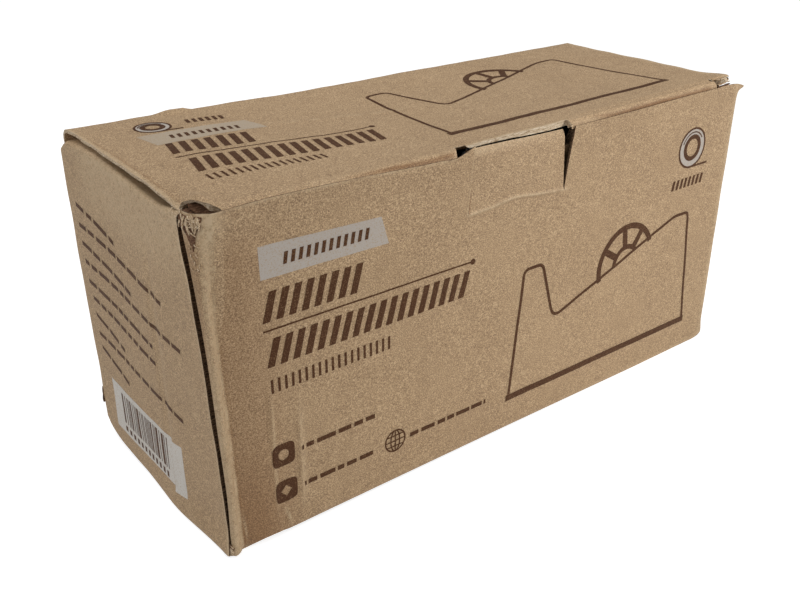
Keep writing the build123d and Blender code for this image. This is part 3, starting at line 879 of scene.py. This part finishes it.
def make_end(node, worn, flip):
    """An end wall. flip is 1 on the left and -1 on the right."""
    def surface(u, v):
        return end_surface(u * flip, v, worn) * np.array([flip, 1, 1])

    us = merged(spaced(-END_HALF, END_HALF, 2.5), spaced(9, 18, 0.6), spaced(END_HALF - 6, END_HALF, 0.8))
    vs = merged(spaced(0, S_END_STOP, 2.5), spaced(0, 6, 0.8), spaced(S_END_ROUND, S_END_STOP, 0.6))
    panel = Panel(surface, np.sort(us * flip), vs, wear_and_light=end_wear_and_light)
    board_piece(panel, node, "carton")
    return panel


lid = make_lid()
make_tuck()
front = make_front()
make_back()
make_tab()
left_end = make_end("left_end_outer", LEFT_WORN, 1)
make_end("right_end_outer", RIGHT_WORN, -1)


# Torn paper and bare flutes, most of it at the front left corner; some dark ribbons are painted shade

SHRED_THICK = 0.3
STRIP_STRETCH = 1.85
PAPER, FLUTES_AND_SHADE = 0, 1

# Single ribbons: kind, origin, heading, lift, length, width, curl, twist, taper
# The first two flute ribbons floor the notch pocket, dark partly as bare flutes and partly as painted shade.
# The third is a dark ribbon closing a gap at the front left foot: painted shade.
RIBBONS = [(FLUTES_AND_SHADE, (-134.7, -53.0, 135.0), (0.0, 1.0, 0.1), (0, 0, 1), 10.5, 6.6, 0.5, 0.2, 0.1),
           (FLUTES_AND_SHADE, (-138.6, -50.4, 134.5), (0.0, 1.0, 0.06), (0, 0, 1), 8.3, 4.2, 0.2, 0.1, 0.1),
           (FLUTES_AND_SHADE, (-139.4, -52.4, 8.5), (0.0, 0.0, -1.0), (-0.8, -0.6, 0), 7.0, 4.0, 0.0, 0.0, 0.3),
           (FLUTES_AND_SHADE, (130.5, -53.4, 135.9), (1.0, 0.08, 0.06), (0, 0, 1), 9.0, 2.0, 0.0, 0.1, 0.5),
           (FLUTES_AND_SHADE, (-141.9, 53.6, 15.8), (-0.06, 0.0, 1.0), (0, -1, 0), 8.0, 2.4, 0.0, 0.0, 0.85),
           (PAPER, (131.0, -52.0, 136.8), (1.0, 0.1, 0.0), (0, 0, 1), 7.0, 2.0, 0.0, 0.1, 0.5)]


def shred(origin, heading, lift, length, width, curl, twist, taper=0.75):
    """A tapering ribbon from origin along heading, curled towards lift."""
    heading, lift = (np.array(v, float) / np.linalg.norm(v) for v in (heading, lift))
    lift = lift - heading * (lift @ heading)
    lift /= np.linalg.norm(lift)
    side = np.cross(heading, lift)
    steps = 18
    place, sections = np.array(origin, float), []
    for i in range(steps + 1):
        t = i / steps
        turn = curl * t * t
        ahead = heading * math.cos(turn) + lift * math.sin(turn)
        up = lift * math.cos(turn) - heading * math.sin(turn)
        across = side * math.cos(twist * t) + up * math.sin(twist * t)
        flat = np.cross(ahead, across)
        half = width / 2 * (1 - taper * t**2) * (1 + 0.12 * math.sin(9 * t))
        corners = [(-half, 0), (half, 0), (half, SHRED_THICK), (-half, SHRED_THICK)]
        sections.append([place + across * a + flat * b for a, b in corners])
        place = place + ahead * length / steps
    return np.array(sections)


def strand(u, v, turn, bend, length, width, height, taper=0.7):
    """A ribbon down the front wall from u, v, swung by bend, standing off by height."""
    t = np.linspace(0, 1, 17)
    angle = turn + bend * t
    step = length / (len(t) - 1)
    u = u + np.cumsum(np.sin(angle)) * step / STRIP_STRETCH
    v = v - np.cumsum(np.cos(angle)) * step
    half = width / 2 * (1 - taper * t**2) * (1 + 0.2 * np.sin(11 * t))
    off = 0.04 + height * np.sin(math.pi * t)
    sections = []
    for side, lift in ((-1, 0), (1, 0), (1, SHRED_THICK), (-1, SHRED_THICK)):
        at = (u + side * half * np.cos(angle) / STRIP_STRETCH, v + side * half * np.sin(angle))
        sections.append(front.surface(*at) + front.normal(*at) * (off + lift)[:, None])
    return np.stack(sections, 1)


def foot_crumples(dice):
    """Crumpled paper at the front left foot, as ribbons."""
    for k in range(16):
        origin = (-141.0 + dice.uniform(-0.3, 0.5), -53.8 + dice.uniform(-0.6, 0.6), dice.uniform(2.2, 6.0))
        heading = (dice.uniform(0.2, 0.8), dice.uniform(-0.9, -0.3), dice.uniform(-0.3, 0.3))
        length, width = dice.uniform(1.6, 2.6), dice.uniform(0.8, 1.6)
        curl, twist = dice.uniform(-0.5, 1.2), dice.uniform(-0.8, 0.8)
        yield FLUTES_AND_SHADE if k % 4 == 2 else PAPER, origin, heading, (-0.6, -0.6, 0.3), length, width, curl, twist


def corner_strands(dice):
    """The torn corner: a brown bed of bare flutes, its dark colour partly painted shade between the strands,
    with pale strands and loops over it.
    """
    left, right = CREASE - STRIP - 0.9, CREASE - 2.0
    for k in range(11):
        t = k / 10
        reach = 4.0 + 7.5 * hump(t, 0.5, 0.3) + dice.uniform(-0.8, 0.8)
        u = left + 0.7 + t * (right - left - 0.7)
        yield FLUTES_AND_SHADE, u, 137.4, 0.25 * (0.5 - t), 0.0, reach, 1.3, 0.0, 0.9
    for k in range(30):
        t = dice.random()
        top = 137.6 - 3.4 * dice.random() ** 2
        loop = k % 4 == 0
        length = dice.uniform(2.5, 4.5) + (0 if loop else 5.0 * hump(t, 0.55, 0.3) * dice.random())
        turn = 0.5 * (0.55 - t) + dice.uniform(-0.45, 0.45)
        bend = dice.choice((-1, 1)) * dice.uniform(2.6, 4.4) if loop else dice.uniform(-0.7, 0.7)
        width, height = dice.uniform(0.35, 0.75), dice.uniform(0.2, 0.9)
        yield PAPER, left + t * (right - left), top, turn, bend, length, width, height
    for k in range(14):
        u, v = left + 1.5 + dice.random() * 3.0, dice.uniform(118, 130)
        turn, bend, length = dice.uniform(-0.5, 0.5), dice.uniform(-1.5, 1.5), dice.uniform(0.8, 1.8)
        yield PAPER, u, v, turn, bend, length, 0.3, 0.15


def ribbon_faces(first, count):
    """Closed skin over a count of four-cornered sections, numbered from first."""
    last = first + 4 * (count - 1)
    faces = []
    for a in range(first, last, 4):
        faces += [(a + j, a + (j + 1) % 4, a + 4 + (j + 1) % 4, a + 4 + j) for j in range(4)]
    return [*faces, (first + 3, first + 2, first + 1, first), (last, last + 1, last + 2, last + 3)]


def make_shreds():
    dice = random.Random(7)
    sheets = [(kind, shred(*ribbon)) for kind, *ribbon in (*RIBBONS, *foot_crumples(dice))]
    sheets += [(kind, strand(*path)) for kind, *path in corner_strands(dice)]
    verts, faces, kinds = [], [], []
    for kind, sections in sheets:
        skin = ribbon_faces(len(verts), len(sections))
        verts += sections.reshape(-1, 3).tolist()
        faces += skin
        kinds += [kind] * len(skin)
    obj = dress(mesh_object("torn_liner", verts, faces, kinds), torn_paper, bare_flutes_and_shade)
    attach(obj, "carton")


make_shreds()


# Print: flat shapes laid on a panel

BROWN, GREY, PALE, THIN = 0, 1, 2, 3
INK_LIFT = (0.10, 0.05, 0.05, 0.05)
PRINT_STEP = 1.6

# Pitch, inked share and slant of the stripes that stand for words
LARGE = (5.2, 0.56, 3.2)
LABEL = (3.1, 0.5, 0.8)
EMBLEM = (3.0, 0.55, 0.9)
FINE = (2.9, 0.36, 0.0)
UNDER_BARS = (3.4, 0.5, 0.0)


class Print:
    """Flat printed shapes on a panel. A place on the sheet is (across, down) in mm from u0, v0."""

    def __init__(self, panel, u0, v0, down):
        self.panel, self.u0, self.v0, self.down = panel, u0, v0, down
        self.points, self.faces, self.kinds = [], [], []

    def grid(self, points, kind):
        rows, columns = points.shape[:2]
        first = len(self.points)
        self.points += points.reshape(-1, 2).tolist()
        for i in range(rows - 1):
            for j in range(columns - 1):
                a = first + i * columns + j
                self.faces.append((a, a + 1, a + columns + 1, a + columns))
                self.kinds.append(kind)

    def patch(self, corners, kind=BROWN):
        """A four-cornered shape, corners in turn."""
        a, b, c, d = (np.array(p, float) for p in corners)
        across = max(2, math.ceil(np.linalg.norm(b - a) / PRINT_STEP) + 1)
        down = max(2, math.ceil(np.linalg.norm(d - a) / PRINT_STEP) + 1)
        s = np.linspace(0, 1, across)[None, :, None]
        t = np.linspace(0, 1, down)[:, None, None]
        self.grid((1 - t) * ((1 - s) * a + s * b) + t * ((1 - s) * d + s * c), kind)

    def bar(self, x0, y0, x1, y1, slant=0.0):
        self.patch([(x0 + slant, y0), (x1 + slant, y0), (x1, y1), (x0, y1)])

    def stripes(self, x0, y0, x1, y1, style):
        """A bar made of slanted stripes."""
        pitch, share, slant = style
        for k in range(round((x1 - x0 - slant) / pitch)):
            x = x0 + k * pitch
            self.bar(x, y0, x + pitch * share, y1, slant)

    def stroke(self, points, width, kind=BROWN, closed=False):
        """A line of even width along points, mitred at its corners."""
        p = np.array(points, float)
        ahead = np.roll(p, -1, 0) - p
        ahead /= np.linalg.norm(ahead, axis=1, keepdims=True)
        behind = np.roll(ahead, 1, 0)
        if not closed:
            ahead[-1], behind[0] = ahead[-2], ahead[0]
        middle = ahead + behind
        middle /= np.linalg.norm(middle, axis=1, keepdims=True)
        side = np.stack([-middle[:, 1], middle[:, 0]], 1) / np.maximum((middle * ahead).sum(1), 0.4)[:, None]
        edges = np.stack([p - side * width / 2, p + side * width / 2], 1)
        count = len(p) if closed else len(p) - 1
        for i in range(count):
            a, b = edges[i], edges[(i + 1) % len(p)]
            self.patch([a[0], b[0], b[1], a[1]], kind)

    def ring(self, x, y, radius, width, kind=BROWN, start=0.0, end=360.0, squash=1.0):
        turns = np.radians(np.linspace(start, end, 41))
        dots = np.stack([x + radius * np.cos(turns) * squash, y + radius * np.sin(turns)], 1)
        whole = end - start >= 360
        self.stroke(dots[:-1] if whole else dots, width, kind, closed=whole)

    def disc(self, x, y, radius):
        self.plaque(x, y, radius, 0.05 * radius, 2.0, 2.0)

    def plaque(self, x, y, outer, inner, outer_power, inner_power):
        """A shape with a hole: power 2 is round, 1 a diamond, 5 a square with rounded corners."""
        turns = np.radians(np.linspace(0, 360, 49))
        c, s = np.cos(turns), np.sin(turns)
        rims = []
        for radius, power in ((outer, outer_power), (inner, inner_power)):
            reach = radius / (np.abs(c) ** power + np.abs(s) ** power) ** (1 / power)
            rims.append(np.stack([x + reach * c, y + reach * s], 1))
        self.grid(np.stack([rims[0] + (rims[1] - rims[0]) * t for t in np.linspace(0, 1, 6)]), BROWN)

    def dashes(self, x0, x1, y0, y1, seed, thick):
        """A row of plain dashes from x0, y0 to x1, y1."""
        dice = random.Random(seed)
        x = x0
        while x < x1 - 1:
            end = min(x + dice.uniform(3.0, 9.0), x1)
            ya, yb = (np.interp(q, (x0, x1), (y0, y1)) for q in (x, end))
            self.patch([(x, ya - thick), (end, yb - thick), (end, yb + thick), (x, ya + thick)])
            x = end + dice.uniform(1.0, 1.8)

    def build(self, name, body):
        across, down = np.array(self.points).T
        u, v = self.u0 + across, self.v0 + self.down * down
        lift = np.zeros(len(self.points))
        lift[np.array(self.faces)] = np.array(INK_LIFT)[self.kinds][:, None]
        lifted = self.panel.surface(u, v) + self.panel.normal(u, v) * lift[:, None]
        obj = mesh_object(name, lifted, self.faces, self.kinds)
        dress(obj, brown_ink, grey_ink, pale_ink, thin_ink)
        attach(obj, body)


def tape_roll(sheet, x, y, radius):
    """A plain roll of tape with its end drawn out."""
    sheet.ring(x, y, radius * 0.78, radius * 0.40, GREY)
    sheet.ring(x, y, radius, 1.0)
    sheet.ring(x, y, radius * 0.56, 2.2)
    sheet.ring(x, y, radius * 0.80, 0.6, start=200, end=330)
    sheet.stroke([(x, y + radius), (x + radius * 1.4, y + radius)], 1.0)


def globe(sheet, x, y, radius):
    sheet.ring(x, y, radius, 0.7)
    sheet.ring(x, y, radius, 0.6, squash=0.45)
    sheet.stroke([(x - radius, y), (x + radius, y)], 0.6)
    sheet.stroke([(x, y - radius), (x, y + radius)], 0.6)
    for dy in (-0.5, 0.5):
        half = radius * math.cos(math.asin(0.5))
        sheet.stroke([(x - half, y + dy * radius), (x + half, y + dy * radius)], 0.6)


def rounded(points, radii):
    """The points of a line with its corners rounded off."""
    points = [np.array(p, float) for p in points]
    line = [points[0]]
    for before, corner, after, radius in zip(points, points[1:], points[2:], radii):
        a = corner + (before - corner) * min(0.5, radius / np.linalg.norm(before - corner))
        b = corner + (after - corner) * min(0.5, radius / np.linalg.norm(after - corner))
        line += [(1 - t) ** 2 * a + 2 * t * (1 - t) * corner + t * t * b for t in np.linspace(0, 1, 6)]
    return [*line, points[-1]]


# The drawn dispenser, in the frame's x and z: foot, nose, valley, slope to the shoulder, tail
DRAWN_LINE = 1.5
BODY_FOOT = 7.0
VALLEY = (-70, 67.5)
SHOULDER = 84
CORNER_RADII = (3.0, 3.0, 5.5, 3.0, 3.0)
WHEEL_RIM, WHEEL_HUB = 0.95, 0.42
SPOKE_TURNS = (212, 262, 305)


def dispenser_outline(sheet, x0, base, length):
    """The dispenser's side view in the frame's proportions, length mm long."""
    tray_low, tray_high = box_mm("base_tray")
    top = box_mm("front_side_shell")[1][2]
    wheel_low, wheel_high = box_mm("core_wheel")
    k = length / (tray_high[0] - tray_low[0])

    def at(x, z):
        return np.array([x0 + (x - tray_low[0]) * k, base - (z - tray_low[2]) * k])

    nose = [(-118, BODY_FOOT), (-108, top), (-87, top)]
    tail = [(SHOULDER, top), (104, top), (118.5, BODY_FOOT)]
    wall = [at(*p) for p in (*nose, VALLEY, *tail)]
    sheet.stroke(rounded(wall, CORNER_RADII), DRAWN_LINE)
    sheet.stroke([at(-121, 6), at(121, 6)], 2.1 * DRAWN_LINE)
    hub = at(*((wheel_low + wheel_high) / 2)[[0, 2]])
    radius = (wheel_high[0] - wheel_low[0]) / 2 * k
    slope = math.degrees(math.atan2(top - VALLEY[1], SHOULDER - VALLEY[0]))
    start, end = 180 - slope + 3, 360 - slope - 3
    sheet.ring(*hub, radius * WHEEL_RIM, 1.9 * DRAWN_LINE, start=start, end=end)
    sheet.ring(*hub, radius * WHEEL_HUB, 1.6 * DRAWN_LINE, start=start + 12, end=end - 12)
    for turn in SPOKE_TURNS:
        ray = np.array([math.cos(math.radians(turn)), math.sin(math.radians(turn))])
        sheet.stroke([hub + ray * radius * WHEEL_HUB, hub + ray * radius * WHEEL_RIM], 2.1 * DRAWN_LINE)


# Rows of words on the front and the left end: start, end, down
FRONT_ROWS = [(34.2, 68.8, 101.1), (34.8, 67.5, 118.0), (86.6, 128.8, 117.8)]
END_ROWS = [(13.4, 41, 32.8), (13.5, 77.5, 41.0), (13.6, 50.5, 48.4), (13.6, 88, 56.0), (14.2, 65, 64.2),
            (15.0, 65.5, 71.3), (14.8, 36, 78.9), (14.8, 82, 87.8), (15, 36, 94.4)]


def print_front():
    sheet = Print(front, LEFT, TOP, -1)
    sheet.patch([(21.9, 16.2), (72.8, 17.5), (76.0, 29.0), (22.2, 28.6)], GREY)
    sheet.stripes(31, 20.5, 68, 25.0, LABEL)
    sheet.stripes(21.9, 33.4, 65.2, 44.8, LARGE)
    sheet.stroke([(21.9, 48.1), (117.5, 48.1)], 0.7)
    sheet.disc(118.2, 48.1, 1.3)
    sheet.stripes(22.4, 51.5, 118.8, 62.6, LARGE)
    sheet.stripes(23.2, 67.7, 78.3, 73.4, FINE)
    sheet.plaque(26.4, 101.0, 4.95, 2.3, 5.0, 2.0)
    sheet.plaque(26.8, 117.6, 4.95, 2.5, 5.0, 1.0)
    globe(sheet, 78.9, 117.3, 5.0)
    for k, (start, end, down) in enumerate(FRONT_ROWS):
        sheet.dashes(start, end, down, down, 11 + k, 1.0)
    tape_roll(sheet, 255.5, 27.5, 9.5)
    sheet.stripes(243.5, 42.0, 268.0, 46.8, EMBLEM)
    dispenser_outline(sheet, 141.0, 121.6, 127.5)
    sheet.build("front_print", "carton")


def print_lid():
    sheet = Print(lid, LEFT, S_FLAT - BACK_ROUND, 1)
    tape_roll(sheet, 29.5, 20.0, 7.0)
    sheet.stripes(43.5, 17.0, 61.5, 22.0, EMBLEM)
    sheet.patch([(18.4, 29.5), (66.0, 27.5), (69.5, 40.0), (20.5, 44.0)], THIN)
    sheet.stripes(29, 33.5, 60, 38.0, LABEL)
    sheet.stripes(20.0, 44.0, 57.5, 57.5, LARGE)
    sheet.stroke([(19.0, 61.5), (105.0, 61.5)], 0.7)
    sheet.disc(105.6, 61.5, 1.3)
    sheet.stripes(19.0, 65.0, 105.0, 79.0, LARGE)
    sheet.stripes(19.0, 83.0, 68.4, 88.2, FINE)
    dispenser_outline(sheet, 121.6, 90.5, 137.5)
    sheet.build("lid_print", "lid")


def print_left_end():
    sheet = Print(left_end, FRONT, TOP, -1)
    for k, (start, end, down) in enumerate(END_ROWS):
        sheet.dashes(start, end, down - 4.0, down + 2.4, 40 + k, 0.9)
    sheet.patch([(18.8, 103.3), (69.6, 104.6), (69.6, 126.8), (18.8, 128.5)], PALE)
    sheet.patch([(69.6, 106.2), (77.5, 104.3), (78.0, 128.2), (69.8, 129.8)], PALE)
    dice = random.Random(5)
    x = 26.0
    while x < 67:
        wide = dice.choice((0.6, 0.6, 1.2, 1.8))
        sheet.bar(x, 106.5, x + wide, 121.5)
        x += wide + dice.choice((0.6, 0.6, 1.2, 1.2))
    sheet.stripes(26.0, 123.4, 68, 126.2, UNDER_BARS)
    sheet.build("left_end_print", "carton")


print_front()
print_lid()
print_left_end()

# Finishes of the pieces that keep their CAD shape

FINISHES = [
    (board_inside, ["carton_base", "left_end_inner", "right_end_inner", "front_left_ear", "front_right_ear",
                    "back_left_ear", "back_right_ear"]),
    (moulded("charcoal_plastic", srgb(58, 60, 63), srgb(44, 45, 48)),
     ["front_side_shell", "back_side_shell", "centre_frame", "base_tray", "tape_rest"]),
    (moulded("grey_plastic", srgb(150, 153, 155), srgb(132, 135, 138)), ["core_wheel"]),
    (moulded("pale_plastic", srgb(200, 199, 195), srgb(184, 183, 179)), ["core_spindle"]),
    (brushed_steel(), ["axle_rod", "cutter_blade", "tray_screws", "blade_screws"]),
    (foam(), ["non_slip_pad"]),
    (cast_ballast(), ["ballast_slab"]),
]
for material, nodes in FINISHES:
    for node in nodes:
        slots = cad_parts[node].data.materials
        slots.clear()
        slots.append(material)

# Stage: pale floor, soft light, camera

FLOOR_HALF = 6.0
FLOOR_GLOW = 0.76
FLOOR_GREY = (0.6, 0.6, 0.6, 1)
WHITE = (1, 1, 1, 1)
AMBIENT = 0.35
CAMERA_AT = (-0.2613, -0.3100, 0.2457)
CAMERA_TURN = (63.4881, -0.0621, -38.1413)
CAMERA_LENS = 42.828
scene = bpy.context.scene


def seen(paint):
    """1 for camera, mirrored and transmitted rays."""
    path = paint.node("ShaderNodeLightPath").outputs
    direct = paint.math("ADD", path["Is Camera Ray"], path["Is Glossy Ray"])
    return paint.math("ADD", direct, path["Is Transmission Ray"], clamp=True)


def make_floor():
    mesh = bpy.data.meshes.new("floor")
    h = FLOOR_HALF
    mesh.from_pydata([(-h, -h, 0), (h, -h, 0), (h, h, 0), (-h, h, 0)], [], [(0, 1, 2, 3)])
    floor = bpy.data.objects.new("floor", mesh)
    scene.collection.objects.link(floor)
    paint = Paint("pale_floor", roughness=1.0, specular=0.0)
    paint.shader.inputs["Base Color"].default_value = FLOOR_GREY
    paint.shader.inputs["Emission Color"].default_value = WHITE
    glow = paint.math("MULTIPLY", seen(paint), FLOOR_GLOW)
    paint.tree.links.new(glow, paint.shader.inputs["Emission Strength"])
    mesh.materials.append(paint.material)


def make_world():
    """White where it is seen, a dimmer light elsewhere."""
    world = bpy.data.worlds.new("studio")
    scene.world = world
    world.use_nodes = True
    tree = world.node_tree
    path = add_node(tree, "ShaderNodeLightPath").outputs
    rays = {0: path["Is Camera Ray"], 1: path["Is Transmission Ray"]}
    direct = add_node(tree, "ShaderNodeMath", rays, operation="MAXIMUM").outputs[0]
    level = add_node(tree, "ShaderNodeMapRange", {"Value": direct, "To Min": AMBIENT, "To Max": 1.0})
    background = tree.nodes["Background"]
    background.inputs["Color"].default_value = WHITE
    tree.links.new(level.outputs[0], background.inputs["Strength"])


def make_lamp(name, kind, place, aim, power, colour, **settings):
    data = bpy.data.lights.new(name, kind)
    data.energy, data.color = power, colour
    for key, value in settings.items():
        setattr(data, key, value)
    lamp = bpy.data.objects.new(name, data)
    lamp.location = place
    lamp.rotation_euler = (Vector(place) - Vector(aim)).to_track_quat("Z", "Y").to_euler()
    scene.collection.objects.link(lamp)


def make_camera():
    data = bpy.data.cameras.new("camera")
    data.sensor_width, data.lens = 36.0, CAMERA_LENS
    data.clip_start = 0.01
    camera = bpy.data.objects.new("camera", data)
    camera.location = CAMERA_AT
    camera.rotation_euler = [math.radians(a) for a in CAMERA_TURN]
    scene.collection.objects.link(camera)
    scene.camera = camera


make_floor()
make_world()
make_lamp("key", "SPOT", (0.75, -1.0, 0.55), (0.09, -0.05, 0.105), 47.0, (1.0, 0.98, 0.95),
          spot_size=math.radians(28), spot_blend=1.0, shadow_soft_size=0.16)
make_lamp("top", "AREA", (-0.1, 0.1, 1.3), (0, 0, 0.1), 5.2, (1.0, 0.99, 0.97), size=1.2)
make_lamp("side", "AREA", (-1.05, -0.1, 0.7), (-0.14, 0, 0.1), 3.0, (1.0, 1.0, 1.0), size=0.8)
make_camera()
scene.view_settings.view_transform = "Standard"
